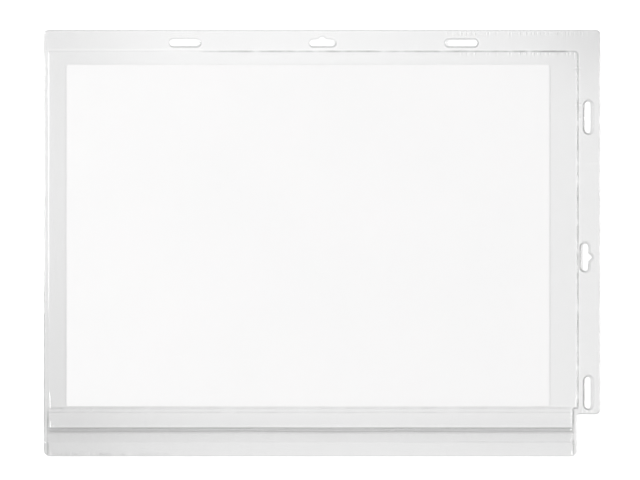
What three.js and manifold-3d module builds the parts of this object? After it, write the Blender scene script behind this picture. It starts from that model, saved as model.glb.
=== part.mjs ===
// A clear document pocket for one sheet, landscape, with a press-seal closure along the bottom
// and a punched hanging flange along the top and the right side.
// Millimetres. It lies on its back ply: +X to the right, +Y to the top flange, +Z up to the front ply.
// The origin is the middle of the whole outline, on the surface that the pocket lies on.
import * as THREE from "three";
import { mergeVertices } from "three/addons/utils/BufferGeometryUtils.js";
import Module from "manifold-3d";

const wasm = await Module();
wasm.setup();

// The sheet that the pocket holds
const sheet = { width: 297, height: 210, thickness: 0.1, cornerRadius: 1 };

// The two plies of soft film, and the radii of their outline's corners
const filmThickness = 0.3;
const corner = { bottom: 4, inner: 1, flangeEnd: 3, topRight: 2.5, topLeft: 3 };

// Free width between the sheet's edges and the welds around it
const margin = { left: 11.5, right: 17, top: 7.8, bottom: 1.2 };

// Where the plies are welded to each other
const rimWidth = 2.4;
const topFlangeWidth = 13.4;
const sideFlangeWidth = 14.1;
const sideFlangePastStrip = 3.7;

// Slots in the flange; edge is from the flange's outer edge to the middle of the front ply's slot.
// The back ply was punched out of register, so that its slot lies slipX to the right of the front one.
const topSlot = { length: 20.9, width: 5, edge: 7.6, slipX: -1.8 };
const topHangSlot = { length: 17.4, width: 5, edge: 7.6, slipX: -1.2, crownRadius: 4.2 };
const sideSlot = { length: 20, width: 5.3, edge: 7.4, slipX: -1.1 };
const sideHangSlot = { length: 17, width: 5, edge: 9.9, slipX: -0.2, crownRadius: 4.2 };
const slipY = 0.2;
// From each end of a flange to the middle of its outer slot; slip moves the hang slot off their middle
const topSlotFrom = { left: 86.8, right: 85, slip: -1 };
const sideSlotFrom = { top: 53.5, flangeEnd: 13.2, slip: -1.2 };

// The press-seal strips: a flat web with the closure bead on it, and the film's lip below them
const strip = { aboveBead: 13.3, belowBead: 7.7, web: 0.4, weldBand: 2.5 };
const webRise = 2.7;
const lipHeight = 8.6;
const rib = { stem: 0.7, head: 2, headHeight: 0.45, tip: 1.2 };
const jaw = { wall: 0.4, hook: 0.35 };
const runningGap = 0.3;

// How the front ply lies: its air over the sheet and the lip, and how far it takes to come down
const airOverSheet = 0.3;
const airPastSheet = 0.5;
const airInLip = 0.3;
const airOverStripEdge = 0.1;
const fallPastStrip = 11;
const fallAtEnds = 1;
const airAtStripEnds = 0.2;

// How finely arcs are drawn, and how far a cutting solid stands past what it cuts
const arcSteps = 4;
const cutMargin = 1;

// Places along X and Y that follow from the sizes above
const width = rimWidth + margin.left + sheet.width + margin.right + sideFlangeWidth;
const stripWidth = strip.aboveBead + strip.belowBead;
const height = lipHeight + stripWidth + margin.bottom + sheet.height + margin.top + topFlangeWidth;
const left = -width / 2;
const right = width / 2;
const bottom = -height / 2;
const top = height / 2;
const chamberLeft = left + rimWidth;
const chamberRight = right - sideFlangeWidth;
const chamberTop = top - topFlangeWidth;
const stripBottom = bottom + lipHeight;
const stripTop = stripBottom + stripWidth;
const closureRight = chamberRight - rimWidth;
const sheetLeft = chamberLeft + margin.left;
const sheetRight = sheetLeft + sheet.width;
const sheetBottom = stripTop + margin.bottom;
const sheetTop = sheetBottom + sheet.height;
const flangeEnd = stripTop - sideFlangePastStrip;
const beadY = stripBottom + strip.belowBead;
const topSlotLeft = left + topSlotFrom.left;
const topSlotRight = right - topSlotFrom.right;
const topHangSlotX = (topSlotLeft + topSlotRight) / 2 + topSlotFrom.slip;
const sideSlotUpper = top - sideSlotFrom.top;
const sideSlotLower = flangeEnd + sideSlotFrom.flangeEnd;
const sideHangSlotY = (sideSlotUpper + sideSlotLower) / 2 + sideSlotFrom.slip;
const stripLeft = chamberLeft + fallAtEnds + airAtStripEnds;
const stripRight = closureRight - fallAtEnds - airAtStripEnds;

// Levels along Z, from the surface up
const backTop = filmThickness;
const backWebTop = backTop + strip.web;
const headTop = backWebTop + rib.headHeight;
const hookUnder = headTop + runningGap;
const jawTop = hookUnder + jaw.hook;
const frontWebUnder = backWebTop + runningGap;
const frontWebTop = frontWebUnder + strip.web;
const beadTop = jawTop + strip.web;
const overSheet = backTop + sheet.thickness + airOverSheet;

// The press-seal bead's half widths, outward from its middle
const grooveHalf = rib.head / 2 + runningGap;
const mouthHalf = rib.stem / 2 + runningGap;
const beadHalf = grooveHalf + jaw.wall;
const beadFlat = beadHalf + runningGap;

// A closed outline of [x, y, radius] corners, all right angles, each rounded by an arc
function roundedShape(corners) {
  const shape = new THREE.Shape();
  corners.forEach(([x, y, radius], i) => {
    const [beforeX, beforeY] = corners[(i + corners.length - 1) % corners.length];
    const [afterX, afterY] = corners[(i + 1) % corners.length];
    const back = new THREE.Vector2(beforeX - x, beforeY - y).setLength(radius);
    const on = new THREE.Vector2(afterX - x, afterY - y).setLength(radius);
    const centre = new THREE.Vector2(x, y).add(back).add(on);
    const clockwise = on.cross(back) < 0;
    shape.absarc(centre.x, centre.y, radius, on.angle() + Math.PI, back.angle() + Math.PI, clockwise);
  });
  return shape;
}

function pocketOutline() {
  return roundedShape([
    [left, bottom, corner.bottom],
    [chamberRight, bottom, corner.bottom],
    [chamberRight, flangeEnd, corner.inner],
    [right, flangeEnd, corner.flangeEnd],
    [right, top, corner.topRight],
    [left, top, corner.topLeft],
  ]);
}

// A round-ended slot along X about its own middle; a hang slot has a round crown towards +Y
function slotPoints({ length, width, crownRadius }) {
  const half = width / 2;
  const reach = length / 2 - half;
  const outline = new THREE.Path();
  outline.absarc(reach, 0, half, -Math.PI / 2, Math.PI / 2, false);
  if (crownRadius) {
    const rise = Math.asin(half / crownRadius);
    outline.absarc(0, 0, crownRadius, rise, Math.PI - rise, false);
  }
  outline.absarc(-reach, 0, half, Math.PI / 2, (3 * Math.PI) / 2, false);
  return outline.getPoints(arcSteps);
}

// slipShare is 0 for the front ply's slots and 1 for the back ply's
function topSlotPath(size, middleX, slipShare) {
  const x = middleX + size.slipX * slipShare;
  const y = top - size.edge + slipY * slipShare;
  return new THREE.Path(slotPoints(size).map((p) => new THREE.Vector2(x + p.x, y + p.y)));
}

// On the right flange a slot is turned a quarter, so that its crown points outwards, to +X
function sideSlotPath(size, middleY, slipShare) {
  const x = right - size.edge + size.slipX * slipShare;
  const y = middleY + slipY * slipShare;
  return new THREE.Path(slotPoints(size).map((p) => new THREE.Vector2(x + p.y, y - p.x)));
}

function punchedOutline(slipShare) {
  const shape = pocketOutline();
  shape.holes.push(
    topSlotPath(topSlot, topSlotLeft, slipShare),
    topSlotPath(topHangSlot, topHangSlotX, slipShare),
    topSlotPath(topSlot, topSlotRight, slipShare),
    sideSlotPath(sideSlot, sideSlotUpper, slipShare),
    sideSlotPath(sideHangSlot, sideHangSlotY, slipShare),
    sideSlotPath(sideSlot, sideSlotLower, slipShare),
  );
  return shape;
}

function extrude(shape, depth) {
  return new THREE.ExtrudeGeometry(shape, {
    depth,
    bevelEnabled: false,
    curveSegments: arcSteps,
  });
}

// A section drawn in (y, z) and carried along X from one end to the other
function extrudeAlongX(points, fromX, toX) {
  const section = new THREE.Shape(points.map(([y, z]) => new THREE.Vector2(y, z)));
  const acrossToY = new THREE.Vector3(0, 1, 0);
  const upToZ = new THREE.Vector3(0, 0, 1);
  const alongX = new THREE.Vector3(1, 0, 0);
  return extrude(section, toX - fromX)
    .applyMatrix4(new THREE.Matrix4().makeBasis(acrossToY, upToZ, alongX))
    .translate(fromX, 0, 0);
}

function toSolid(geometry) {
  const bare = geometry.clone();
  bare.deleteAttribute("normal");
  bare.deleteAttribute("uv");
  const merged = mergeVertices(bare, 1e-4);
  return new wasm.Manifold(
    new wasm.Mesh({
      numProp: 3,
      vertProperties: merged.attributes.position.array,
      triVerts: new Uint32Array(merged.index.array),
    }),
  );
}

function fromSolid(solid) {
  const cut = solid.getMesh();
  const geometry = new THREE.BufferGeometry();
  geometry.setAttribute("position", new THREE.BufferAttribute(cut.vertProperties, cut.numProp));
  geometry.setIndex(new THREE.BufferAttribute(cut.triVerts, 1));
  const faceted = geometry.toNonIndexed();
  faceted.computeVertexNormals();
  return faceted;
}

// A slab over the grid of xs and ys: its underside follows heightAt, its top lies a thickness above
function slabOverGrid(xs, ys, heightAt, thickness) {
  const positions = [];
  for (const lift of [0, thickness]) {
    for (const y of ys) {
      for (const x of xs) {
        positions.push(x, y, heightAt(x, y) + lift);
      }
    }
  }
  const columns = xs.length;
  const layer = columns * ys.length;
  const indices = [];
  const quad = (a, b, c, d) => indices.push(a, b, c, a, c, d);
  for (let j = 0; j + 1 < ys.length; j++) {
    for (let i = 0; i + 1 < columns; i++) {
      const a = j * columns + i;
      quad(a, a + columns, a + columns + 1, a + 1);
      quad(a + layer, a + 1 + layer, a + columns + 1 + layer, a + columns + layer);
    }
    const start = j * columns;
    const end = start + columns - 1;
    quad(start, start + layer, start + columns + layer, start + columns);
    quad(end, end + columns, end + columns + layer, end + layer);
  }
  const lastRow = layer - columns;
  for (let i = 0; i + 1 < columns; i++) {
    quad(i, i + 1, i + 1 + layer, i + layer);
    quad(lastRow + i, lastRow + i + layer, lastRow + i + 1 + layer, lastRow + i + 1);
  }
  const geometry = new THREE.BufferGeometry();
  geometry.setAttribute("position", new THREE.Float32BufferAttribute(positions, 3));
  geometry.setIndex(indices);
  return geometry;
}

// How far value has gone from one place to another, held between 0 and 1
function share(value, from, to) {
  return THREE.MathUtils.clamp((value - from) / (to - from), 0, 1);
}

// The front ply's underside down the middle of the pocket, as [y, level] from the lip upwards
const closureProfile = [
  [bottom, backTop + airInLip],
  [stripBottom, frontWebTop + airOverStripEdge],
  [beadY - beadFlat, beadTop],
  [beadY + beadFlat, beadTop],
  [stripTop - strip.weldBand, frontWebTop],
  [stripTop, frontWebTop],
  [stripTop + fallPastStrip, backTop],
];

function closureLevel(y) {
  const above = closureProfile.findIndex(([knotY]) => knotY >= y);
  if (above === 0) return closureProfile[0][1];
  if (above < 0) return backTop;
  const [lowY, lowZ] = closureProfile[above - 1];
  const [highY, highZ] = closureProfile[above];
  return THREE.MathUtils.lerp(lowZ, highZ, share(y, lowY, highY));
}

// The underside of the front ply: on the back ply at every weld, over the sheet, and over the closure
function frontLevel(x, y) {
  const overSheetShare = Math.min(
    share(x, chamberLeft, sheetLeft - airPastSheet),
    share(x, chamberRight, sheetRight + airPastSheet),
    share(y, chamberTop, sheetTop + airPastSheet),
  );
  const overStripShare = Math.min(
    share(x, chamberLeft, chamberLeft + fallAtEnds),
    share(x, closureRight, closureRight - fallAtEnds),
  );
  const sheetLevel = THREE.MathUtils.lerp(backTop, overSheet, overSheetShare);
  const stripLevel = THREE.MathUtils.lerp(backTop, closureLevel(y), overStripShare);
  return y > stripTop ? Math.max(sheetLevel, stripLevel) : stripLevel;
}

function frontFilmGeometry() {
  const xs = [
    left - cutMargin,
    chamberLeft,
    chamberLeft + fallAtEnds,
    sheetLeft - airPastSheet,
    sheetRight + airPastSheet,
    closureRight - fallAtEnds,
    closureRight,
    chamberRight,
    right + cutMargin,
  ];
  const ys = [
    bottom - cutMargin,
    ...closureProfile.map(([y]) => y),
    sheetTop + airPastSheet,
    chamberTop,
    top + cutMargin,
  ];
  const slab = toSolid(slabOverGrid(xs, ys, frontLevel, filmThickness));
  const deep = beadTop + filmThickness + 2 * cutMargin;
  const cutter = toSolid(extrude(punchedOutline(0), deep).translate(0, 0, -cutMargin));
  return fromSolid(slab.intersect(cutter));
}

function backFilmGeometry() {
  return extrude(punchedOutline(1), filmThickness);
}

function sheetGeometry() {
  const radius = sheet.cornerRadius;
  const outline = roundedShape([
    [sheetLeft, sheetBottom, radius],
    [sheetRight, sheetBottom, radius],
    [sheetRight, sheetTop, radius],
    [sheetLeft, sheetTop, radius],
  ]);
  return extrude(outline, sheet.thickness).translate(0, 0, backTop);
}

// The groove half: a flat web with two jaws whose hooks point at each other
function backStripSection() {
  const jawPoints = (side) => [
    [beadY + side * grooveHalf, backWebTop],
    [beadY + side * grooveHalf, hookUnder],
    [beadY + side * mouthHalf, hookUnder],
    [beadY + side * (mouthHalf + runningGap), jawTop],
    [beadY + side * beadHalf, jawTop],
    [beadY + side * beadHalf, backWebTop],
  ];
  return [
    [stripBottom, backTop],
    [stripTop, backTop],
    [stripTop, backWebTop],
    ...jawPoints(1).reverse(),
    ...jawPoints(-1),
    [stripBottom, backWebTop],
  ];
}

// The rib half: a web that rises over the bead, with an arrow-headed rib under its middle
function frontStripSection() {
  const ribPoints = (side) => [
    [beadY + (side * rib.stem) / 2, jawTop],
    [beadY + (side * rib.stem) / 2, headTop],
    [beadY + (side * rib.head) / 2, headTop],
    [beadY + (side * rib.head) / 2, (headTop + backWebTop) / 2],
    [beadY + (side * rib.tip) / 2, backWebTop],
  ];
  const footUnder = beadFlat + webRise - strip.web;
  const footTop = beadFlat + webRise;
  return [
    [stripBottom, frontWebUnder],
    [beadY - footUnder, frontWebUnder],
    [beadY - beadFlat, jawTop],
    ...ribPoints(-1),
    ...ribPoints(1).reverse(),
    [beadY + beadFlat, jawTop],
    [beadY + footUnder, frontWebUnder],
    [stripTop, frontWebUnder],
    [stripTop, frontWebTop],
    [beadY + footTop, frontWebTop],
    [beadY + beadFlat, beadTop],
    [beadY - beadFlat, beadTop],
    [beadY - footTop, frontWebTop],
    [stripBottom, frontWebTop],
  ];
}

const clearFilm = new THREE.MeshStandardMaterial({
  color: 0xe9edee,
  roughness: 0.12,
  metalness: 0,
  transparent: true,
  opacity: 0.35,
});
const clearProfile = new THREE.MeshStandardMaterial({
  color: 0xc9cdd0,
  roughness: 0.2,
  metalness: 0,
  transparent: true,
  opacity: 0.6,
});
const whitePaper = new THREE.MeshStandardMaterial({
  color: 0xf7f7f6,
  roughness: 0.9,
  metalness: 0,
});

const pocket = new THREE.Group();

function addPiece(name, geometry, material) {
  const piece = new THREE.Mesh(geometry, material);
  piece.name = name;
  pocket.add(piece);
}

addPiece("back_film", backFilmGeometry(), clearFilm);
addPiece("document_sheet", sheetGeometry(), whitePaper);
addPiece("back_zip_strip", extrudeAlongX(backStripSection(), stripLeft, stripRight), clearProfile);
addPiece("front_zip_strip", extrudeAlongX(frontStripSection(), stripLeft, stripRight), clearProfile);
addPiece("front_film", frontFilmGeometry(), clearFilm);

export default pocket;
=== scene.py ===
# A clear press-seal document pocket lying flat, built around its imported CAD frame.
import math

import bpy
import numpy as np
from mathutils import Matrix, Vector
from mathutils.geometry import delaunay_2d_cdt


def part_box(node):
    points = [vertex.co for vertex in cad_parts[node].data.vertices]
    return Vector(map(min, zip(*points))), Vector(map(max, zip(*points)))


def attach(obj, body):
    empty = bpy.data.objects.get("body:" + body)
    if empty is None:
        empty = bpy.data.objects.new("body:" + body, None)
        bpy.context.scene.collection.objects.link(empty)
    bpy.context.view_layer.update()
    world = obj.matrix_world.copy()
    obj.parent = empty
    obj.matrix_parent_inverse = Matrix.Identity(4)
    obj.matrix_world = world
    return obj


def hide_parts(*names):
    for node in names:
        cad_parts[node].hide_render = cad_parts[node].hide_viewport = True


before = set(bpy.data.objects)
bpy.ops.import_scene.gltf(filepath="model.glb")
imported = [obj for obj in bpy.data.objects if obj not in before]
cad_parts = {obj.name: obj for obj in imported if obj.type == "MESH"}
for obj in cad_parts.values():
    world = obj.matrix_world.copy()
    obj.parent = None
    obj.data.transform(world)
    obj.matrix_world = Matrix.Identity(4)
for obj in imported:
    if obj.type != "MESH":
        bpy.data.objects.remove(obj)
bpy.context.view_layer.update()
mm = 0.001  # lengths below are in millimetres, Blender's are in metres


def toMm(node):
    # A CAD node's lowest and highest corner, in millimetres
    low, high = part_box(node)
    return np.array(low) / mm, np.array(high) / mm


def toLinear(hexColour):
    # An sRGB hex colour as linear red, green, blue and full alpha
    channels = [int(hexColour[i:i + 2], 16) / 255 for i in (1, 3, 5)]
    return [c / 12.92 if c <= 0.04045 else ((c + 0.055) / 1.055) ** 2.4 for c in channels] + [1]


def newMaterial(name):
    material = bpy.data.materials.new(name)
    material.use_nodes = True
    material.node_tree.nodes.clear()
    return material, material.node_tree


def addNode(tree, kind, fields=None, values=None, links=None):
    # One node: fields are its own settings, values and links go to its input sockets
    node = tree.nodes.new(kind)
    for name, value in (fields or {}).items():
        setattr(node, name, value)
    for socket, value in (values or {}).items():
        node.inputs[socket].default_value = value
    for socket, source in (links or {}).items():
        tree.links.new(source, node.inputs[socket])
    return node


def smoothStep(value, start, end):
    # 3t^2 - 2t^3 between start and end, 0 before and 1 after
    t = np.clip((value - start) / (end - start), 0, 1)
    return t * t * (3 - 2 * t)


def smoothFall(value, start, end):
    # The same turned round: 1 before start and 0 after end
    return 1 - smoothStep(value, start, end)


def hump(distance, width):
    # exp(-(distance / width)^2)
    return np.exp(-(distance / width) ** 2)


def ripple(along, seed, longest, shortest, waves=7):
    # Sum of sines with random phases, periods from longest to shortest, kept within about -1 to 1
    draw = np.random.default_rng(seed)
    periods = np.geomspace(longest, shortest, waves)
    phases = draw.uniform(0, 2 * math.pi, waves)
    strengths = draw.uniform(0.5, 1, waves)
    total = sum(s * np.sin(2 * math.pi * along / p + f) for s, p, f in zip(strengths, periods, phases))
    return total / np.sqrt((strengths ** 2).sum())


# The blank that both plies are cut from, and where they are welded together
blank = {
    "ply": 0.3,
    "pliesGap": 0.02,
    "rim": 2.4,
    "topFlange": 13.4,
    "sideFlange": 14.1,
    "flangePastStrip": 3.7,
    "corners": {"bottom": 4, "inner": 1, "flangeEnd": 3, "topRight": 2.5, "topLeft": 3},
    "weldHalf": 0.35,
    "weldCorners": {"bottom": 0.5, "closureEnd": 0.6, "topRight": 2.2, "topLeft": 1.2},
    "weldPastBottom": 20,  # the side welds run out over the bottom edge
}
ply = blank["ply"]
(left, bottom), (right, top) = [corner[:2] for corner in toMm("back_film")]
(stripLeft, stripBottom), (stripRight, stripTop) = [corner[:2] for corner in toMm("back_zip_strip")]
sheetTop = toMm("document_sheet")[1][2]
weldLeft = left + blank["rim"]
weldRight = right - blank["sideFlange"] + blank["weldHalf"]
weldTop = top - blank["topFlange"] + blank["weldHalf"]
rimRight = right - blank["sideFlange"]
closureRight = rimRight - blank["rim"]
flangeEnd = stripTop - blank["flangePastStrip"]
restLevel = ply + blank["pliesGap"]  # what lies on the back ply starts here

# Slots: middle, length and width of the front ply's cut, and the rise of a hang slot's crown. The back ply's
# is trim narrower in X and shifted in X, which leaves a sliver of single film. around is how dark the painted
# shade on the rim is on its bright side.
slots = [
    {"at": (-84.25, 123.3), "side": False, "length": 18.7, "width": 4.2, "rise": 0,
     "shift": -0.5, "trim": 1.0, "around": 0.15},
    {"at": (0.3, 123.15), "side": False, "length": 15.8, "width": 4.0, "rise": 1.8,
     "shift": -0.4, "trim": 0.9, "around": 0.15},
    {"at": (85.7, 123.1), "side": False, "length": 19.6, "width": 4.0, "rise": 0,
     "shift": 0.8, "trim": 1.4, "around": 0.6},
    {"at": (164.0, 77.4), "side": True, "length": 19.6, "width": 5.2, "rise": 0,
     "shift": -0.8, "trim": 1.6, "around": 0.12},
    {"at": (161.35, -8.6), "side": True, "length": 16.8, "width": 4.1, "rise": 2.3,
     "shift": 0.6, "trim": 1.2, "around": 0.1},
    {"at": (164.0, -91.9), "side": True, "length": 19.6, "width": 5.2, "rise": 0,
     "shift": -0.8, "trim": 1.6, "around": 0.12},
]
slotForm = {
    "crownHalf": 3.2,
    "arcSteps": 25,
    # The dark ways are where the rims' painted shade falls
    "darkWayTop": (0.5, -0.85),  # the way that a cut edge of a top slot faces where it is dark
    "darkWaySide": (-0.95, -0.3),
}


def slotLoop(slot, isBack):
    # Two half circles, and for a hang slot a raised cosine between them, then turned and moved into place
    trim, shift = (slot["trim"], slot["shift"]) if isBack else (0, 0)
    half = (slot["width"] - trim * slot["side"]) / 2
    reach = (slot["length"] - trim * (not slot["side"])) / 2 - half
    turn = np.linspace(-math.pi / 2, math.pi / 2, slotForm["arcSteps"])
    rightEnd = np.c_[reach + half * np.cos(turn), half * np.sin(turn)]
    bump = np.linspace(slotForm["crownHalf"], -slotForm["crownHalf"], slotForm["arcSteps"])
    crown = np.c_[bump, half + slot["rise"] * (1 + np.cos(math.pi * bump / slotForm["crownHalf"])) / 2]
    points = np.vstack([rightEnd, crown, -rightEnd] if slot["rise"] else [rightEnd, -rightEnd])
    if slot["side"]:
        points = np.c_[points[:, 1], -points[:, 0]]
    return points + slot["at"] + np.array([shift, 0])


def slotShade(slot, points):
    # Side of the rim turned from the light, for its painted shade: 1 where the way out from the slot's middle
    # line, times the dark way, is over 0.7, and 0 under -0.2
    axis = int(slot["side"])
    out = points - slot["at"]
    reach = (slot["length"] - slot["width"]) / 2
    out[:, axis] -= np.clip(out[:, axis], -reach, reach)
    out /= np.linalg.norm(out, axis=1)[:, None] + 1e-9
    darkWay = np.array(slotForm["darkWaySide" if slot["side"] else "darkWayTop"])
    return smoothStep(out @ darkWay, -0.2, 0.7)


def resampled(points, spacing):
    # The closed polyline walked at even steps of about spacing
    closed = np.vstack([points, points[:1]])
    lengths = np.r_[0, np.cumsum(np.linalg.norm(np.diff(closed, axis=0), axis=1))]
    steps = np.linspace(0, lengths[-1], max(8, round(lengths[-1] / spacing)), endpoint=False)
    return np.c_[np.interp(steps, lengths, closed[:, 0]), np.interp(steps, lengths, closed[:, 1])]


def roundedLoop(corners, arcSteps=24):
    # Right-angled corners [x, y, radius]; each arc is centre - r (v cos t + u sin t), t from 0 to 90 degrees
    points = []
    turns = np.linspace(0, math.pi / 2, arcSteps)[:, None]
    for i, (x, y, radius) in enumerate(corners):
        here = np.array([x, y])
        before = np.array(corners[i - 1][:2]) - here
        after = np.array(corners[(i + 1) % len(corners)][:2]) - here
        u, v = before / np.linalg.norm(before), after / np.linalg.norm(after)
        centre = here + radius * (u + v)
        points.append(centre - radius * (v * np.cos(turns) + u * np.sin(turns)))
    return np.vstack(points)


def outlineLoop():
    # The blank's L-shaped outline, counter-clockwise from the lower left corner
    radius = blank["corners"]
    return roundedLoop([
        (left, bottom, radius["bottom"]), (rimRight, bottom, radius["bottom"]),
        (rimRight, flangeEnd, radius["inner"]), (right, flangeEnd, radius["flangeEnd"]),
        (right, top, radius["topRight"]), (left, top, radius["topLeft"])])


def weldLoop():
    # The weld round the chamber: up the left rim, along the top, down the right, and in to the closure's end
    radius = blank["weldCorners"]
    foot = bottom - blank["weldPastBottom"]
    return roundedLoop([
        (weldLeft, foot, radius["bottom"]), (closureRight, foot, radius["bottom"]),
        (closureRight, stripTop, radius["closureEnd"]), (weldRight, stripTop, radius["closureEnd"]),
        (weldRight, weldTop, radius["topRight"]), (weldLeft, weldTop, radius["topLeft"])], 10)


def inwardOf(loop):
    # Unit normals of a counter-clockwise loop, to its left
    tangent = np.roll(loop, -1, axis=0) - np.roll(loop, 1, axis=0)
    tangent /= np.linalg.norm(tangent, axis=1)[:, None]
    return np.c_[-tangent[:, 1], tangent[:, 0]]


def nearTo(points, loop, reach):
    # Numbers of the points within reach of a loop's box, in parts small enough for one array
    near = ((points > loop.min(0) - reach) & (points < loop.max(0) + reach)).all(1)
    return np.array_split(np.flatnonzero(near), max(1, near.sum() // 4000))


def distanceTo(points, loop, reach=8):
    # Least distance to the loop's segments; points out of reach of its box count as reach away
    run = np.roll(loop, -1, axis=0) - loop
    lengths = np.maximum((run ** 2).sum(1), 1e-12)
    least = np.full(len(points), float(reach))
    for part in nearTo(points, loop, reach):
        dx = points[part, 0][:, None] - loop[:, 0]
        dy = points[part, 1][:, None] - loop[:, 1]
        t = np.clip((dx * run[:, 0] + dy * run[:, 1]) / lengths, 0, 1)
        least[part] = np.sqrt(((dx - t * run[:, 0]) ** 2 + (dy - t * run[:, 1]) ** 2).min(1))
    return least


def isInside(points, loop):
    # An odd number of crossings of a ray to the right means inside
    ends = np.roll(loop, -1, axis=0)
    rise = np.where(ends[:, 1] == loop[:, 1], 1, ends[:, 1] - loop[:, 1])
    slope = (ends[:, 0] - loop[:, 0]) / rise
    inside = np.zeros(len(points), bool)
    for part in nearTo(points, loop, 0):
        x, y = points[part, 0][:, None], points[part, 1][:, None]
        spans = (loop[:, 1] > y) != (ends[:, 1] > y)
        inside[part] = (spans & (x < loop[:, 0] + (y - loop[:, 1]) * slope)).sum(1) % 2 == 1
    return inside


def triangulated(loops, loosePoints):
    # Constrained Delaunay triangles of the loops and loose points, kept between outline and holes
    points, edges = [], []
    count = 0
    for loop in loops:
        ids = np.arange(len(loop)) + count
        edges.append(np.c_[ids, np.roll(ids, -1)])
        points.append(loop)
        count += len(loop)
    points.append(loosePoints)
    result = delaunay_2d_cdt(np.vstack(points).tolist(), np.vstack(edges).tolist(), [], 0, 1e-4, False)
    flat = np.array([tuple(v) for v in result[0]])
    triangles = np.array(result[2])
    middles = flat[triangles].mean(1)
    keep = isInside(middles, loops[0])
    for hole in loops[1:]:
        keep &= ~isInside(middles, hole)
    return flat, triangles[keep]


def thinned(points, step):
    # One point for each cell of a fine grid, the first one that falls in it
    cells = np.round(points / step).astype(np.int64)
    _, first = np.unique(cells, axis=0, return_index=True)
    return points[np.sort(first)]


# How finely the plies are divided: steps along their lines, and rows of points beside them
filmMesh = {
    "lineStep": 1.0,
    "slotStep": 0.55,
    "edgeRows": (0.22, 0.45, 0.7, 1.0, 1.4, 1.9, 2.6, 3.4, 4.4),
    "slotRows": (0.2, 0.42, 0.7, 1.1, 1.6, 2.0, 2.7),
    "weldRows": (0.25, 0.5, 0.75, 1.05, 1.5, 2.2, 3.2),  # on both sides
    "closureColumns": 2.6,
    "closureRows": 0.42,
    "closureFrom": 2.2,  # above the bottom edge
    "closureTo": 3,  # above the strips, and wider rows from there
    "wideRows": 1.2,
    "wideTo": 12,
    "grid": 5.5,
    "clearOfEdge": 0.17,
    "cell": 0.2,
}


def filmPoints(outline, holes, isFront):
    # Rows beside the edges and welds, rows along the closure, and a wide grid over the rest
    rows = []
    edge = resampled(outline, filmMesh["lineStep"])
    inward = inwardOf(edge)
    for offset in filmMesh["edgeRows"]:
        rows.append(edge + inward * offset)
    for hole in holes:
        for offset in filmMesh["slotRows"]:
            rows.append(hole - inwardOf(hole) * offset)
    weld = resampled(weldLoop(), filmMesh["lineStep"])
    outward = inwardOf(weld)
    for offset in (*[-row for row in reversed(filmMesh["weldRows"])], 0, *filmMesh["weldRows"]):
        rows.append(weld + outward * offset)
    if isFront:
        closeTo, margin = stripTop + filmMesh["closureTo"], filmMesh["closureFrom"]
        levels = np.r_[np.arange(bottom + margin, closeTo, filmMesh["closureRows"]),
                       np.arange(closeTo, stripTop + filmMesh["wideTo"], filmMesh["wideRows"])]
        step = filmMesh["closureColumns"]
        columns = np.arange(weldLeft + step, closureRight - margin, step)
        rows.append(np.stack(np.meshgrid(columns, levels), -1).reshape(-1, 2))
    step = filmMesh["grid"]
    grid = np.meshgrid(np.arange(left, right, step), np.arange(bottom, top, step))
    rows.append(np.stack(grid, -1).reshape(-1, 2))
    points = np.vstack(rows)
    gap = distanceTo(points, outline)
    for hole in holes:
        gap = np.minimum(gap, distanceTo(points, hole))
    keep = isInside(points, outline) & (gap > filmMesh["clearOfEdge"])
    for hole in holes:
        keep &= ~isInside(points, hole)
    return thinned(points[keep], filmMesh["cell"])


def plyMesh(name, flat, triangles, lowLevel, highLevel, attributes):
    # Lower and upper surface over the same triangles, joined by a wall along every open edge
    count = len(flat)
    positions = np.vstack([np.c_[flat, lowLevel], np.c_[flat, highLevel]]) * mm
    edges = np.vstack([triangles[:, [0, 1]], triangles[:, [1, 2]], triangles[:, [2, 0]]])
    codes = edges[:, 0] * count + edges[:, 1]
    back = edges[:, 1] * count + edges[:, 0]
    rim = edges[~np.isin(codes, back)]
    a, b = rim[:, 0], rim[:, 1]
    walls = np.vstack([np.c_[a, b, b + count], np.c_[a, b + count, a + count]])
    faces = np.vstack([triangles[:, ::-1], triangles + count, walls])
    mesh = bpy.data.meshes.new(name)
    mesh.from_pydata(positions.tolist(), [], faces.tolist())
    isSmooth = np.r_[np.ones(2 * len(triangles), bool), np.zeros(len(walls), bool)]
    mesh.polygons.foreach_set("use_smooth", isSmooth)
    for key, (low, high) in attributes.items():
        layer = mesh.attributes.new(key, "FLOAT", "POINT")
        layer.data.foreach_set("value", np.r_[low, high].astype(np.float32))
    mesh.update()
    mesh.validate()
    piece = bpy.data.objects.new(name, mesh)
    bpy.context.scene.collection.objects.link(piece)
    return piece


# The closure's places, up from the strips' lower edge
closure = {
    "beadAboveStripBottom": 7.7,
    "weldBand": 2.5,
}
beadY = stripBottom + closure["beadAboveStripBottom"]

# How the soft film lies. A wave is its seed, longest and shortest period, and number of sines.
lie = {
    "flangeLift": 0.25,
    "flangeWaveX": (11, 160, 60, 4),
    "flangeWaveY": (12, 150, 55, 4),
    "airOverSheet": 0.28,
    "riseToSheet": 6,  # how far in from the welds the front ply is up
    "sag": 0.065,
    "riseToSag": 9,
    "sagWaveX": (21, 190, 55, 4),
    "sagWaveY": (22, 170, 50, 4),
    "riseToClosure": 1.6,
    "lipEdge": 0.3,
    "lip": (3, 0.45),  # above the bottom edge, and height there
    "overWeb": 1.12,
    "overBead": [(0, 1.95), (1.8, 1.88), (2.6, 1.6), (4.6, 1.15)],  # from the bead's middle outwards
    "pastStrip": (2.5, 0.7),
    "fallPastStrip": 11,
    "lipWave": (31, 60, 9),
    "lipWaveHeight": 0.12,
    "lipWaveFrom": 4,
}


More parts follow.
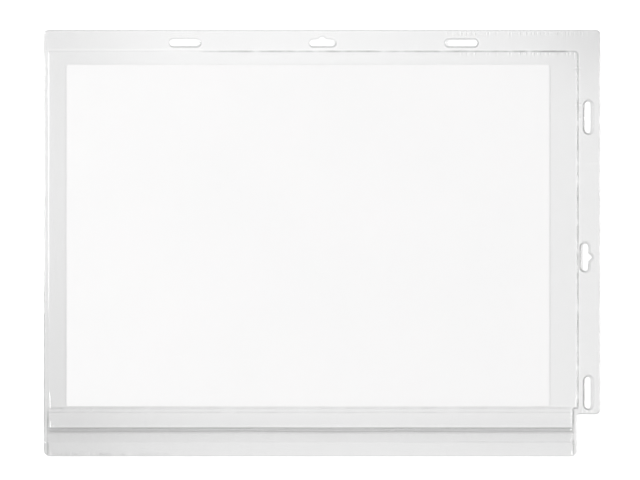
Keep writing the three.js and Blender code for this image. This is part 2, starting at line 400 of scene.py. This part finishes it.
def lift(x, y):
    # How far the flanges stand off the floor: a smooth rise outwards times 1 plus half a wave along X and Y
    over = np.maximum(smoothStep(x, weldRight, right), smoothStep(y, weldTop, top))
    waves = 0.5 * ripple(x, *lie["flangeWaveX"]) + 0.5 * ripple(y, *lie["flangeWaveY"])
    return over * lie["flangeLift"] * (1 + waves).clip(0.1, 2)


def frontLevel(x, y, weldGap):
    # Underside of the front ply: the higher of a smooth rise over the sheet with slow waves, and a line
    # through the closure's heights, both pressed down to the back ply at the welds
    inward = -weldGap
    wave = ripple(x + 0.4 * y, *lie["sagWaveX"]) + ripple(y - 0.3 * x, *lie["sagWaveY"])
    overSheet = (sheetTop - restLevel + lie["airOverSheet"]) * smoothStep(inward, 0.2, lie["riseToSheet"])
    overSheet += lie["sag"] * wave * smoothStep(inward, 0.2, lie["riseToSag"])

    lipRun, lipHeight = lie["lip"]
    pastRun, pastHeight = lie["pastStrip"]
    fallEnd = stripTop + lie["fallPastStrip"]
    overBead = lie["overBead"]
    knots = np.array([
        (bottom, lie["lipEdge"]), (bottom + lipRun, lipHeight), (stripBottom, lie["overWeb"]),
        *[(beadY - out, height) for out, height in reversed(overBead)],
        *[(beadY + out, height) for out, height in overBead[1:]],
        (stripTop, lie["overWeb"]), (stripTop + pastRun, pastHeight), (fallEnd, 0)])
    overStrip = np.interp(y, knots[:, 0], knots[:, 1]) * smoothStep(inward, 0.1, lie["riseToClosure"])
    lipWave = lie["lipWaveHeight"] * ripple(x, *lie["lipWave"])
    overStrip += np.where(y < stripBottom, lipWave * smoothStep(y, bottom, bottom + lie["lipWaveFrom"]), 0)
    return restLevel + np.maximum(overSheet * smoothStep(y, stripTop, fallEnd), overStrip)


# Ridges and grooves beside a slot, edge or weld: height, distance of their middle, and width
ridges = {
    "edge": [(-0.16, 0, 0.3), (0.07, 0.85, 0.35)],
    "slot": [(-0.12, 0, 0.28), (0.05, 0.8, 0.35)],
    "weld": [(-0.13, 0, 0.35), (0.08, 0.85, 0.3)],
}


def relief(edgeGap, slotGap, weldGap):
    # Sum of height times hump of the distance, over all the ridges
    gaps = {"edge": edgeGap, "slot": slotGap, "weld": np.abs(weldGap)}
    total = 0
    for line, rows in ridges.items():
        total = total + sum(height * hump(gaps[line] - at, width) for height, at, width in rows)
    return total


# Even tint of the film with painted shade over it, darker towards the left side, the bottom left and top
# right corners and a little at the top left, where less light falls: share of the light held back, from
# where, and how far that reaches
tintAndPaintedShade = {
    "overall": 0.981,
    "leftSide": (0.068, 50),
    "rightSide": (0.057, 120),
    "bottomLeft": (0.080, 126),
    "topRight": (0.080, 30),
    "topLeft": (0.020, 88),
}


def broadPaintedShade(x, y):
    # Overall tint times 1 - share * hump(distance) for each side and corner, the humps being painted shade
    distances = {
        "leftSide": x - left,
        "rightSide": x - right,
        "bottomLeft": np.hypot(x - left, y - bottom),
        "topRight": np.hypot(x - right, y - top),
        "topLeft": np.hypot(x - left, y - top),
    }
    tone = np.full_like(x, tintAndPaintedShade["overall"])
    for place, distance in distances.items():
        share, width = tintAndPaintedShade[place]
        tone *= 1 - share * hump(distance, width)
    return tone


# Painted shade lines along the welds and pressed edges, standing in for the light that their slopes bend
# away: share of the light that they hold back, and width
lines = {
    "edge": (0.2, 0.42),
    "edgeBesideClosure": 0.2,  # how much of the edge line is left there
    "weldWidth": 0.45,
    "topWeld": 0.02,
    "topWeldMiddle": (0.15, -85, -55),  # more, and from which X to which X it comes up
    "topWeldRight": (0.06, 60, 150),
    "leftWeld": 0.02,
    "leftWeldFoot": (0.16, -108, -100),  # more, and from which Y to which Y it fades
    "rightWeld": 0.27,
    "shadeLineStrengthWaves": (41, 60, 6),
    "shadeLineStrengthMiddle": 0.75,
    "shadeLineStrengthSwing": 0.3,
    # glint is a painted highlight beside the welds
    "glint": (0.03, 1.0, 0.4),  # more light beside a weld: share, distance and width
    "fusedWeld": (0.5, 0.9, 0.6),  # melted film that mirrors less: share, distance and width
    "fusedEdge": (0.4, 1.1, 0.5),
    "dull": {"left": 0.8, "closure": 0.85, "insideTop": 0.9, "outsideTop": 0.4},  # less glint and fused film
}


def weldTone(x, y, edgeGap, weldGap):
    # Painted shade: product of 1 - share * hump(distance) over the edge and weld lines, each made stronger or
    # weaker by a ripple along it, times a painted highlight beside the welds.
    # Also gives how much of the film is fused and mirrors less.
    along = np.where(np.abs(y - weldTop) < 6, x, y)
    shadeLineStrength = np.clip(lines["shadeLineStrengthMiddle"] + lines["shadeLineStrengthSwing"] * ripple(along, *lines["shadeLineStrengthWaves"]), 0.3, 1.2)

    # Which weld a point belongs to, blended over a few millimetres
    isTop = smoothFall(np.abs(y - weldTop), 3, 5)
    isLeft = smoothFall(x, weldLeft + 3, weldLeft + 6) * (1 - isTop)
    isRight = 1 - isTop - isLeft
    isBesideClosure = (y < stripTop) & (x > closureRight) & (x < rimRight + 1)

    middle, middleFrom, middleTo = lines["topWeldMiddle"]
    atRight, rightFrom, rightTo = lines["topWeldRight"]
    foot, footFrom, footTo = lines["leftWeldFoot"]
    topDepth = lines["topWeld"] + middle * smoothStep(x, middleFrom, middleTo)
    topDepth += atRight * smoothStep(x, rightFrom, rightTo)
    leftDepth = lines["leftWeld"] + foot * smoothFall(y, footFrom, footTo)
    weldDepth = isTop * topDepth + isLeft * leftDepth + isRight * lines["rightWeld"]
    edgeDepth, edgeWidth = lines["edge"]
    edgeDepth = edgeDepth * np.where(isBesideClosure, lines["edgeBesideClosure"], 1)
    tone = 1 - edgeDepth * hump(edgeGap, edgeWidth) * shadeLineStrength
    tone *= 1 - weldDepth * hump(weldGap, lines["weldWidth"]) * shadeLineStrength

    dull = lines["dull"]
    shine = 1 - dull["left"] * isLeft
    shine *= 1 - isTop * np.where(weldGap < 0, dull["insideTop"], dull["outsideTop"])
    shine *= np.where(y < stripTop, 1 - dull["closure"], 1)
    # Painted highlight beside the welds
    share, at, width = lines["glint"]
    tone *= 1 + share * hump(np.abs(weldGap) - at, width) * shine
    share, at, width = lines["fusedWeld"]
    fusedWeld = share * hump(np.abs(weldGap) - at, width) * shine
    share, at, width = lines["fusedEdge"]
    return tone, np.maximum(fusedWeld, share * hump(edgeGap - at, width))


# Painted highlights and painted shade lines across the front ply's closure, for the light that the bead and
# strip edges bend and mirror: share of light gained or lost, Y, width, and how broken the line is
closureLines = [
    (0.03, stripTop + 1.5, 0.5, 0),
    (-0.10, stripTop + 0.2, 0.8, 0.4),
    (-0.11, stripTop - closure["weldBand"], 0.4, 0.5),
    (0.12, beadY + 2.3, 0.35, 0),
    (0.17, beadY + 0.95, 0.3, 0),
    (0.17, beadY - 0.95, 0.3, 0),
]
# Painted shade on the closure: below the bead, along the lip and the strip's lower edge, in the middle, and
# strokes along the lip's lower left edge
closureTones = {
    "dashes": (51, 45, 6),
    "belowBead": 0.04,
    "lip": 0.028,
    "stripEdge": (0.03, 0.06, 30, 110),  # share at the left, more at the right, from which X to which X
    "middle": (0.028, 120),
    "strokes": (0.09, 1.3, 0.8),  # along the lip's lower left edge: share, distance from it, and width
    "strokesTo": (-130, -60),  # X between which they fade
    "strokeWaves": (71, 34, 5),
}


def closureTone(x, y, edgeGap, weldGap):
    # Painted light and shade: product of 1 + share * hump(y - line) over the closure's lines, and of smooth
    # steps between its bands
    band = smoothStep(-weldGap, 0.1, 0.9)  # the lines end at the welds
    dash = 0.5 + 0.5 * ripple(x, *closureTones["dashes"])
    tone = np.ones_like(x)
    for share, at, width, broken in closureLines:
        tone *= 1 + share * band * hump(y - at, width) * (1 - broken + broken * dash)
    isBelowBead = smoothStep(y, stripBottom - 0.1, stripBottom + 0.5) * smoothFall(y, beadY - 1, beadY)
    tone *= 1 - closureTones["belowBead"] * band * isBelowBead
    tone *= 1 - closureTones["lip"] * smoothFall(y, stripBottom - 0.3, stripBottom + 0.3)
    share, more, moreFrom, moreTo = closureTones["stripEdge"]
    stripEdge = (share + more * smoothStep(x, moreFrom, moreTo)) * hump(y - stripBottom - 0.3, 0.4)
    tone *= 1 - stripEdge * band * (0.4 + 0.6 * dash)
    share, width = closureTones["middle"]
    tone *= 1 - share * hump(x, width) * smoothFall(y, stripTop - 1, stripTop + 1)

    share, at, width = closureTones["strokes"]
    stroke = hump(edgeGap - at, width) * smoothFall(x, *closureTones["strokesTo"])
    stroke *= smoothFall(y, bottom + 3, bottom + 5)
    return tone * (1 - share * stroke * (0.5 + 0.5 * ripple(x, *closureTones["strokeWaves"])))


# Painted shade along the slots' rims, with a painted highlight outside the front ones: share of the light
# that they hold back, distance of their middle, and width
slotRims = {
    "frontTop": 0.28,
    "frontSide": 0.5,
    "front": (0.45, 0.45),
    "frontGlint": (0.06, 1.5, 0.4),
    "back": (0.08, 0.3, 0.4),
    # bar is painted shade beside the side slots
    "bar": (0.09, 1.65, 1.95),  # between the two plies' side slots: share, and where it fades
}


def slotFields(flat, holes):
    # For the slot nearest to each point: its distance, how far its edge is turned from the light, how dark
    # it is all round, and whether it is a side slot
    slotGap = np.full(len(flat), 1e9)
    shade, around, isSide = np.zeros((3, len(flat)))
    for slot, hole in zip(slots, holes):
        gap = distanceTo(flat, hole)
        near = gap < slotGap
        shade = np.where(near, slotShade(slot, flat), shade)
        around = np.where(near, slot["around"], around)
        isSide = np.where(near, slot["side"], isSide)
        slotGap = np.minimum(slotGap, gap)
    return slotGap, shade, around, isSide


def frontRimTone(slotGap, shade, around, isSide):
    # Painted shade: 1 - share * hump(distance), then a painted highlight line outside it, both stronger where
    # the edge is in shade
    rim = around + (1 - around) * shade
    at, width = slotRims["front"]
    share = np.where(isSide, slotRims["frontSide"], slotRims["frontTop"])
    tone = 1 - share * hump(slotGap - at, width) * rim
    share, at, width = slotRims["frontGlint"]
    return tone * (1 + share * hump(slotGap - at, width) * rim)


def backRimTone(slotGap, shade, isSide):
    # Painted shade: 1 - share * hump(distance), times a painted shade bar on the bright side of the side
    # slots, over the sliver where the film is single
    share, at, width = slotRims["back"]
    tone = 1 - share * hump(slotGap - at, width)
    share, fadeFrom, fadeTo = slotRims["bar"]
    return tone * (1 - share * smoothFall(slotGap, fadeFrom, fadeTo) * (1 - shade) * isSide)


# Rows of short ticks of painted light and shade where the film puckers, the puckers not shaped in the mesh:
# distance of a row from its edge or weld and its width, and the
# X between which it comes up or fades
puckerRows = {
    "topEdge": (2.2, 0.9),
    "topEdgeRight": (62, 84),
    "topEdgeLeft": (-166, -160, -128, -118),  # comes up and fades again
    "topEdgeLeftShare": 0.5,
    "topWeld": (-1.4, 0.9),
    "topWeldRight": (70, 90),
    "topWeldShare": 1.2,
    "sideWeld": (1.3, 0.8),
    "sideWeldAt": [(107, 6), (82, 8)],  # Y and reach of two groups
    "bottomEdge": (1.7, 1.0),
    "bottomEdgeLeft": (-145, -132),
    "flangeFoot": (1.7, 1.2),
}


def puckers(x, y, edgeGap, weldGap):
    # Where the painted pucker ticks go: sum of the rows, each a hump across it times smooth steps along it,
    # and the way along the rows
    def across(gap, row):
        at, width = puckerRows[row]
        return hump(gap - at, width)

    upFrom, upTo, fallFrom, fallTo = puckerRows["topEdgeLeft"]
    leftPart = puckerRows["topEdgeLeftShare"] * smoothStep(x, upFrom, upTo) * smoothFall(x, fallFrom, fallTo)
    topEdge = across(edgeGap, "topEdge") * smoothStep(y, top - 6, top - 5)
    topEdge *= smoothStep(x, *puckerRows["topEdgeRight"]) + leftPart
    topWeld = across(weldGap, "topWeld") * smoothStep(y, weldTop - 5, weldTop - 4)
    topWeld *= puckerRows["topWeldShare"] * smoothStep(x, *puckerRows["topWeldRight"])
    groups = sum(hump(y - at, reach) for at, reach in puckerRows["sideWeldAt"])
    sideWeld = across(np.abs(weldGap), "sideWeld") * groups * (x > weldRight - 6)
    bottomEdge = across(edgeGap, "bottomEdge") * smoothFall(x, *puckerRows["bottomEdgeLeft"])
    bottomEdge *= smoothFall(y, bottom + 4, bottom + 5)
    flangeFoot = across(y - flangeEnd, "flangeFoot") * smoothStep(x, rimRight + 1, rimRight + 3)
    along = np.where((x > weldRight - 8) & (y < weldTop - 6) & (y > flangeEnd + 8), y, x)
    return (topEdge + topWeld + sideWeld + bottomEdge + flangeFoot).clip(0, 1.2), along


def filmPly(name, isFront):
    # One ply: the back one flat, the front one laid over sheet and closure with pressed lines. Its tone holds
    # painted shade and highlights.
    outline = outlineLoop()
    holes = [resampled(slotLoop(slot, not isFront), filmMesh["slotStep"]) for slot in slots]
    edge = resampled(outline, filmMesh["lineStep"])
    flat, triangles = triangulated([edge, *holes], filmPoints(outline, holes, isFront))
    x, y = flat.T
    edgeGap = distanceTo(flat, outline)
    slotGap, shade, around, isSide = slotFields(flat, holes)
    weld = weldLoop()
    weldGap = distanceTo(flat, weld) * np.where(isInside(flat, weld), -1, 1)
    tone, fused = weldTone(x, y, edgeGap, weldGap)
    ones = np.ones(len(flat))
    under = lift(x, y)
    if isFront:
        under = frontLevel(x, y, weldGap) + under
        upper = under + ply + relief(edgeGap, slotGap, weldGap)
        # The front ply's tone: painted weld lines, painted shade and highlights at the slots' rims and across
        # the closure
        tone *= frontRimTone(slotGap, shade, around, isSide) * closureTone(x, y, edgeGap, weldGap)
        puckerShading, along = puckers(x, y, edgeGap, weldGap)
        layers = {
            "tone": (tone, ones),
            "open": (1 - fused, ones),
            "puckerShading": (puckerShading, 0 * ones),
            "along": (along, along),
        }
    else:
        upper = under + ply
        # The back ply's tone: painted weld lines, painted broad shade towards the sides and corners, and
        # painted shade at the slots' rims
        tone *= broadPaintedShade(x, y) * backRimTone(slotGap, shade, isSide)
        layers = {"tone": (ones, tone), "open": (ones, 1 - fused)}
    piece = plyMesh(name, flat, triangles, under, upper, layers)
    print(name, len(flat) * 2, "vertices")
    return piece


# The two halves of the press-seal, as (distance from the bead's middle, height) from the middle outwards
pressSeal = {
    "backWeb": 0.7,
    "jaw": [(1.30, 0.7), (1.28, 1.40), (0.70, 1.47), (0.72, 1.62), (1.0, 1.78), (1.45, 1.76), (1.68, 1.55),
            (1.74, 0.75), (1.95, 0.7)],
    "frontWeb": (1.0, 1.38),
    "ribUnder": [(0.55, 0.73), (0.95, 0.95), (1.0, 1.18), (0.36, 1.2), (0.36, 1.82), (1.9, 1.82), (2.3, 1.70),
                 (4.2, 1.0)],
    "ribOver": [(4.3, 1.38), (2.5, 2.02), (1.9, 2.16)],
    "intoWeld": 0.6,  # how far past the CAD's strips the pressed ends run
    "endSteps": (0, 0.7, 1.6, 3.2),
    "endHeights": (0.2, 0.5, 0.88, 1),  # share of the height left where the ends are pressed
    "sections": 118,
    "waver": 0.12,
    "waverFrom": 12,
    "waverAcross": 3,
    "waverWaves": (260, 30, 5),
    "beadEdge": (1.75, 2.05),
    "backSeed": 61,
    "frontSeed": 62,
}


def besideBead(points, side):
    # Points given from the bead's middle outwards, put on its upper (1) or lower (-1) side
    return [(beadY + side * out, height) for out, height in points]


def grooveSection():
    # The groove half: web with two hooked jaws, as (y, z) counter-clockwise seen along +X
    high, jaw = pressSeal["backWeb"], pressSeal["jaw"]
    web = [(stripBottom, high), (stripBottom, restLevel), (stripTop, restLevel), (stripTop, high)]
    return [*web, *besideBead(jaw[::-1], 1), *besideBead(jaw, -1)]


def ribSection():
    # The rib half: a web that climbs over the jaws, with an arrow-headed rib
    low, high = pressSeal["frontWeb"]
    under, over = pressSeal["ribUnder"], pressSeal["ribOver"]
    return [
        (stripBottom, high), (stripBottom, low), *besideBead(under[::-1], -1), *besideBead(under, 1),
        (stripTop, low), (stripTop, high), *besideBead(over, 1), *besideBead(over[::-1], -1)]


def stripMesh(name, profile, seed):
    # The profile carried along X: y + waver(x) * hump(y - bead), and z pressed flat towards both ends
    section = np.array(profile)
    count = len(section)
    start, end = stripLeft - pressSeal["intoWeld"], stripRight + pressSeal["intoWeld"]
    steps = np.array(pressSeal["endSteps"])
    between = np.linspace(start + steps[-1], end - steps[-1], pressSeal["sections"])
    xs = np.r_[start + steps[:-1], between, end - steps[-2::-1]]
    fromEnd = np.minimum(xs - xs[0], xs[-1] - xs)
    press = np.interp(fromEnd, steps, pressSeal["endHeights"])
    waver = pressSeal["waver"] * ripple(xs, seed, *pressSeal["waverWaves"])
    waver *= smoothStep(fromEnd, 0, pressSeal["waverFrom"])
    near = hump(section[:, 0] - beadY, pressSeal["waverAcross"])
    y = section[:, 0][None] + waver[:, None] * near[None]
    z = restLevel + (section[:, 1] - restLevel)[None] * press[:, None]
    positions = np.stack([np.repeat(xs[:, None], count, 1), y, z], -1).reshape(-1, 3) * mm
    i, j = np.meshgrid(np.arange(len(xs) - 1), np.arange(count), indexing="ij")
    a = (i * count + j).ravel()
    b = (i * count + (j + 1) % count).ravel()
    quads = np.c_[a, b, b + count, a + count]
    mesh = bpy.data.meshes.new(name)
    last = (len(xs) - 1) * count
    ends = [list(range(count))[::-1], [last + k for k in range(count)]]
    mesh.from_pydata(positions.tolist(), [], quads.tolist() + ends)
    mesh.update()
    bead = np.tile(smoothFall(np.abs(section[:, 0] - beadY), *pressSeal["beadEdge"]), len(xs))
    layer = mesh.attributes.new("bead", "FLOAT", "POINT")
    layer.data.foreach_set("value", bead.astype(np.float32))
    piece = bpy.data.objects.new(name, mesh)
    bpy.context.scene.collection.objects.link(piece)
    print(name, len(positions), "vertices")
    return piece


# Calendered soft PVC: water-clear, milky by a trace, with a soft gloss
filmFinish = {
    "name": "clear soft PVC film",
    "tint": "#fefefe",
    "roughness": 0.09,
    "tick": 0.95,  # spacing of the puckers
    # tickSwing: how far the puckers' painted light and shade ticks lighten and darken the film
    "tickSwing": 0.11,
}
# Extruded soft PVC: as clear as the film, with a grey along the bead that is painted shade for the light its
# many faces bend away
profileFinish = {
    "name": "extruded clear PVC profile",
    "tint": "#ffffff",
    "beadTint": "#f7f7f7",
    "roughness": 0.12,
    "webMirror": 0.1,  # the web is welded to the film, so it hardly mirrors
    "beadMirror": 0.5,
}
# Soft PVC: how much each surface mirrors head-on, and the faint unevenness of its gloss
softGloss = {
    "headOn": 0.044,
    "glancePower": 5,
    "peel": 9,
    "peelDepth": 0.02,
    "peelStrength": 0.5,
}


def filmColour(tree):
    # Tint times tone times 1 + swing * (signed noise along the edge)^3, and the share that still mirrors.
    # Tone and ticks are painted light and shade: lines, highlights and pucker strokes.
    tone = addNode(tree, "ShaderNodeAttribute", {"attribute_name": "tone"})
    opened = addNode(tree, "ShaderNodeAttribute", {"attribute_name": "open"})
    puckerShading = addNode(tree, "ShaderNodeAttribute", {"attribute_name": "puckerShading"})
    along = addNode(tree, "ShaderNodeAttribute", {"attribute_name": "along"})
    folds = addNode(tree, "ShaderNodeTexNoise", {"noise_dimensions": "1D"},
                    {"Scale": 1 / filmFinish["tick"], "Detail": 0.0}, {"W": along.outputs["Fac"]})
    signed = addNode(tree, "ShaderNodeMapRange", None,
                     {"From Min": 0.3, "From Max": 0.7, "To Min": -1, "To Max": 1},
                     {"Value": folds.outputs["Fac"]})
    tick = addNode(tree, "ShaderNodeMath", {"operation": "POWER"}, {1: 3}, {0: signed.outputs[0]})
    masked = addNode(tree, "ShaderNodeMath", {"operation": "MULTIPLY"}, None,
                     {0: tick.outputs[0], 1: puckerShading.outputs["Fac"]})
    swing = addNode(tree, "ShaderNodeMath", {"operation": "MULTIPLY_ADD"},
                    {1: filmFinish["tickSwing"], 2: 1}, {0: masked.outputs[0]})
    toned = addNode(tree, "ShaderNodeMath", {"operation": "MULTIPLY"}, None,
                    {0: swing.outputs[0], 1: tone.outputs["Fac"]})
    scaled = addNode(tree, "ShaderNodeVectorMath", {"operation": "SCALE"},
                     {0: toLinear(filmFinish["tint"])[:3]}, {3: toned.outputs[0]})
    return scaled.outputs[0], opened.outputs["Fac"]


def profileColour(tree):
    # From the web's tint and mirror share to the bead's painted shade grey and mirror share, by the bead
    # attribute
    bead = addNode(tree, "ShaderNodeAttribute", {"attribute_name": "bead"})
    tints = {6: toLinear(profileFinish["tint"]), 7: toLinear(profileFinish["beadTint"])}
    tint = addNode(tree, "ShaderNodeMix", {"data_type": "RGBA"}, tints, {0: bead.outputs["Fac"]})
    shares = {"To Min": profileFinish["webMirror"], "To Max": profileFinish["beadMirror"]}
    share = addNode(tree, "ShaderNodeMapRange", None, shares, {"Value": bead.outputs["Fac"]})
    return tint.outputs[2], share.outputs[0]


def clearPlastic(finish, colourNodes):
    # Soft PVC: lets light straight through, and mirrors headOn + (1 - headOn) (1 - facing)^5 of it, softly
    material, tree = newMaterial(finish["name"])
    place = addNode(tree, "ShaderNodeTexCoord").outputs["Object"]
    peel = addNode(tree, "ShaderNodeTexNoise", None, {"Scale": 1 / (softGloss["peel"] * mm), "Detail": 2.0},
                   {"Vector": place})
    bump = addNode(tree, "ShaderNodeBump", None,
                   {"Strength": softGloss["peelStrength"], "Distance": softGloss["peelDepth"] * mm},
                   {"Height": peel.outputs["Fac"]})
    glance = addNode(tree, "ShaderNodeLayerWeight", None, {"Blend": 0.5}, {"Normal": bump.outputs["Normal"]})
    power = addNode(tree, "ShaderNodeMath", {"operation": "POWER"}, {1: softGloss["glancePower"]},
                    {0: glance.outputs["Facing"]})
    mirror = addNode(tree, "ShaderNodeMath", {"operation": "MULTIPLY_ADD"},
                     {1: 1 - softGloss["headOn"], 2: softGloss["headOn"]}, {0: power.outputs[0]})
    colour, openShare = colourNodes(tree)
    share = addNode(tree, "ShaderNodeMath", {"operation": "MULTIPLY"}, None,
                    {0: mirror.outputs[0], 1: openShare})
    through = addNode(tree, "ShaderNodeBsdfTransparent", None, None, {"Color": colour})
    gloss = addNode(tree, "ShaderNodeBsdfAnisotropic", None,
                    {"Color": (1, 1, 1, 1), "Roughness": finish["roughness"]},
                    {"Normal": bump.outputs["Normal"]})
    mix = addNode(tree, "ShaderNodeMixShader", None, None,
                  {0: share.outputs[0], 1: through.outputs[0], 2: gloss.outputs[0]})
    addNode(tree, "ShaderNodeOutputMaterial", None, None, {"Surface": mix.outputs[0]})
    return material


# Uncoated 80 g office paper: matt and very white, with a faint felt of fibres under a millimetre
paperFinish = {
    "name": "uncoated white office paper",
    "bright": "#fbfafa",
    "shade": "#f8f8f8",
    "cloud": 70,
    "fibre": 0.9,
    "fibreDepth": 0.02,
    "fibreStrength": 0.25,
    "roughness": 0.9,
    "specular": 0.2,
}


def officePaper():
    # Two whites mixed by a broad noise, and a fine noise as bump
    material, tree = newMaterial(paperFinish["name"])
    place = addNode(tree, "ShaderNodeTexCoord").outputs["Object"]
    fibres = addNode(tree, "ShaderNodeTexNoise", None,
                     {"Scale": 1 / (paperFinish["fibre"] * mm), "Detail": 5.0}, {"Vector": place})
    cloud = addNode(tree, "ShaderNodeTexNoise", None,
                    {"Scale": 1 / (paperFinish["cloud"] * mm), "Detail": 1.0}, {"Vector": place})
    whites = {6: toLinear(paperFinish["bright"]), 7: toLinear(paperFinish["shade"])}
    mixed = addNode(tree, "ShaderNodeMix", {"data_type": "RGBA"}, whites, {0: cloud.outputs["Fac"]})
    bump = addNode(tree, "ShaderNodeBump", None,
                   {"Strength": paperFinish["fibreStrength"], "Distance": paperFinish["fibreDepth"] * mm},
                   {"Height": fibres.outputs["Fac"]})
    paper = addNode(tree, "ShaderNodeBsdfPrincipled", None,
                    {"Roughness": paperFinish["roughness"], "Specular IOR Level": paperFinish["specular"]},
                    {"Base Color": mixed.outputs[2], "Normal": bump.outputs["Normal"]})
    addNode(tree, "ShaderNodeOutputMaterial", None, None, {"Surface": paper.outputs[0]})
    return material


def dress(piece, node, material):
    # The piece stands for the CAD node, in its material
    piece.data.materials.append(material)
    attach(piece, "root")
    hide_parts(node)


clearFilm = clearPlastic(filmFinish, filmColour)
clearProfile = clearPlastic(profileFinish, profileColour)
dress(filmPly("frontFilm", True), "front_film", clearFilm)
dress(filmPly("backFilm", False), "back_film", clearFilm)
backStrip = stripMesh("backZipStrip", grooveSection(), pressSeal["backSeed"])
frontStrip = stripMesh("frontZipStrip", ribSection(), pressSeal["frontSeed"])
dress(frontStrip, "front_zip_strip", clearProfile)
dress(backStrip, "back_zip_strip", clearProfile)

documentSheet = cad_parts["document_sheet"]
documentSheet.data.materials.clear()
documentSheet.data.materials.append(officePaper())
print("pieces built")


# The studio, in metres
floorPaper = {
    "half": 6.0,
    "below": 0.0002,
    "grey": "#dedede",
    "glow": 0.37,
    "whiteFrom": 0.5,
    "whiteTo": 1.6,
}


def seenShare(tree):
    # 1 for rays from the camera and for what gloss or clear film shows, 0 for light on the object
    path = addNode(tree, "ShaderNodeLightPath")
    either = addNode(tree, "ShaderNodeMath", {"operation": "MAXIMUM"}, None,
                     {0: path.outputs["Is Camera Ray"], 1: path.outputs["Is Glossy Ray"]})
    return addNode(tree, "ShaderNodeMath", {"operation": "MAXIMUM"}, None,
                   {0: either.outputs[0], 1: path.outputs["Is Transmission Ray"]}).outputs[0]


def makeFloor():
    # One square. Its paper is matt and glows a little near the object, and what is seen of it further away,
    # where the lamps fade, turns plain white.
    half, level = floorPaper["half"], -floorPaper["below"]
    mesh = bpy.data.meshes.new("floor")
    corners = [(-half, -half, level), (half, -half, level), (half, half, level), (-half, half, level)]
    mesh.from_pydata(corners, [], [(0, 1, 2, 3)])
    floor = bpy.data.objects.new("floor", mesh)
    bpy.context.scene.collection.objects.link(floor)
    material, tree = newMaterial("white studio paper")
    seen = seenShare(tree)
    matt = addNode(tree, "ShaderNodeBsdfDiffuse", None, {"Color": toLinear(floorPaper["grey"])})
    glowing = addNode(tree, "ShaderNodeMath", {"operation": "MULTIPLY"}, {1: floorPaper["glow"]}, {0: seen})
    glow = addNode(tree, "ShaderNodeEmission", None, {"Color": (1, 1, 1, 1)},
                   {"Strength": glowing.outputs[0]})
    near = addNode(tree, "ShaderNodeAddShader", None, None, {0: matt.outputs[0], 1: glow.outputs[0]})
    place = addNode(tree, "ShaderNodeTexCoord").outputs["Object"]
    away = addNode(tree, "ShaderNodeVectorMath", {"operation": "LENGTH"}, None, {0: place})
    far = addNode(tree, "ShaderNodeMapRange", {"interpolation_type": "SMOOTHSTEP"},
                  {"From Min": floorPaper["whiteFrom"], "From Max": floorPaper["whiteTo"]},
                  {"Value": away.outputs["Value"]})
    share = addNode(tree, "ShaderNodeMath", {"operation": "MULTIPLY"}, None, {0: far.outputs[0], 1: seen})
    white = addNode(tree, "ShaderNodeEmission", None, {"Color": (1, 1, 1, 1), "Strength": 1})
    both = addNode(tree, "ShaderNodeMixShader", None, None,
                   {0: share.outputs[0], 1: near.outputs[0], 2: white.outputs[0]})
    addNode(tree, "ShaderNodeOutputMaterial", None, None, {"Surface": both.outputs[0]})
    mesh.materials.append(material)


sky = {
    "horizon": "#f4f4f4",
    "zenith": "#bcbcbc",
    "from": 0.05,
    "to": 0.75,
}


def makeWorld():
    # Light round the horizon and dimmer overhead, and plain white to the camera
    world = bpy.data.worlds.new("soft studio")
    world.use_nodes = True
    tree = world.node_tree
    tree.nodes.clear()
    direction = addNode(tree, "ShaderNodeTexCoord").outputs["Generated"]
    up = addNode(tree, "ShaderNodeSeparateXYZ", None, None, {0: direction}).outputs["Z"]
    rise = addNode(tree, "ShaderNodeMapRange", {"interpolation_type": "SMOOTHSTEP"},
                   {"From Min": sky["from"], "From Max": sky["to"]}, {"Value": up})
    greys = {6: toLinear(sky["horizon"]), 7: toLinear(sky["zenith"])}
    dome = addNode(tree, "ShaderNodeMix", {"data_type": "RGBA"}, greys, {0: rise.outputs[0]})
    light = addNode(tree, "ShaderNodeBackground", None, None, {"Color": dome.outputs[2]})
    white = addNode(tree, "ShaderNodeBackground", None, {"Color": (1, 1, 1, 1), "Strength": 1})
    camera = addNode(tree, "ShaderNodeLightPath").outputs["Is Camera Ray"]
    mix = addNode(tree, "ShaderNodeMixShader", None, None,
                  {0: camera, 1: light.outputs[0], 2: white.outputs[0]})
    addNode(tree, "ShaderNodeOutputWorld", None, None, {"Surface": mix.outputs[0]})
    bpy.context.scene.world = world


# Two square soft boxes, high at both sides and turned to the pocket's middle
lamps = {
    "keyBox": {"place": (-1.17, 0.25, 1.62), "side": 0.7, "watts": 18.3},
    "fillBox": {"place": (1.4, -0.1, 1.45), "side": 0.8, "watts": 10.5},
}


def softBox(name):
    # An area lamp that faces the middle of the pocket
    lamp = bpy.data.lights.new(name, "AREA")
    lamp.shape = "RECTANGLE"
    lamp.size = lamp.size_y = lamps[name]["side"]
    lamp.energy = lamps[name]["watts"]
    box = bpy.data.objects.new(name, lamp)
    box.location = lamps[name]["place"]
    box.rotation_euler = (-Vector(lamps[name]["place"])).to_track_quat("-Z", "Y").to_euler()
    bpy.context.scene.collection.objects.link(box)


# The camera looks straight down: focal length, sensor, and what one pixel of the photograph's width covers
view = {
    "lens": 100,
    "sensor": 36,
    "clipStart": 0.01,
    "imageWidth": 640,
    "pixel": 0.615,
    "middle": (-1.23, 2.0),
}


def makeCamera():
    # Height = picture width on the floor * lens / sensor
    camera = bpy.data.cameras.new("camera")
    camera.sensor_width = view["sensor"]
    camera.lens = view["lens"]
    camera.clip_start = view["clipStart"]
    body = bpy.data.objects.new("camera", camera)
    wide = view["imageWidth"] * view["pixel"] * mm
    x, y = view["middle"]
    body.location = (x * mm, y * mm, wide * view["lens"] / view["sensor"])
    bpy.context.scene.collection.objects.link(body)
    bpy.context.scene.camera = body


makeFloor()
makeWorld()
for lampName in lamps:
    softBox(lampName)
makeCamera()
bpy.context.scene.view_settings.view_transform = "Standard"
bpy.context.scene.cycles.transparent_max_bounces = 64  # a ray through the closure crosses many clear surfaces
print("stage set")
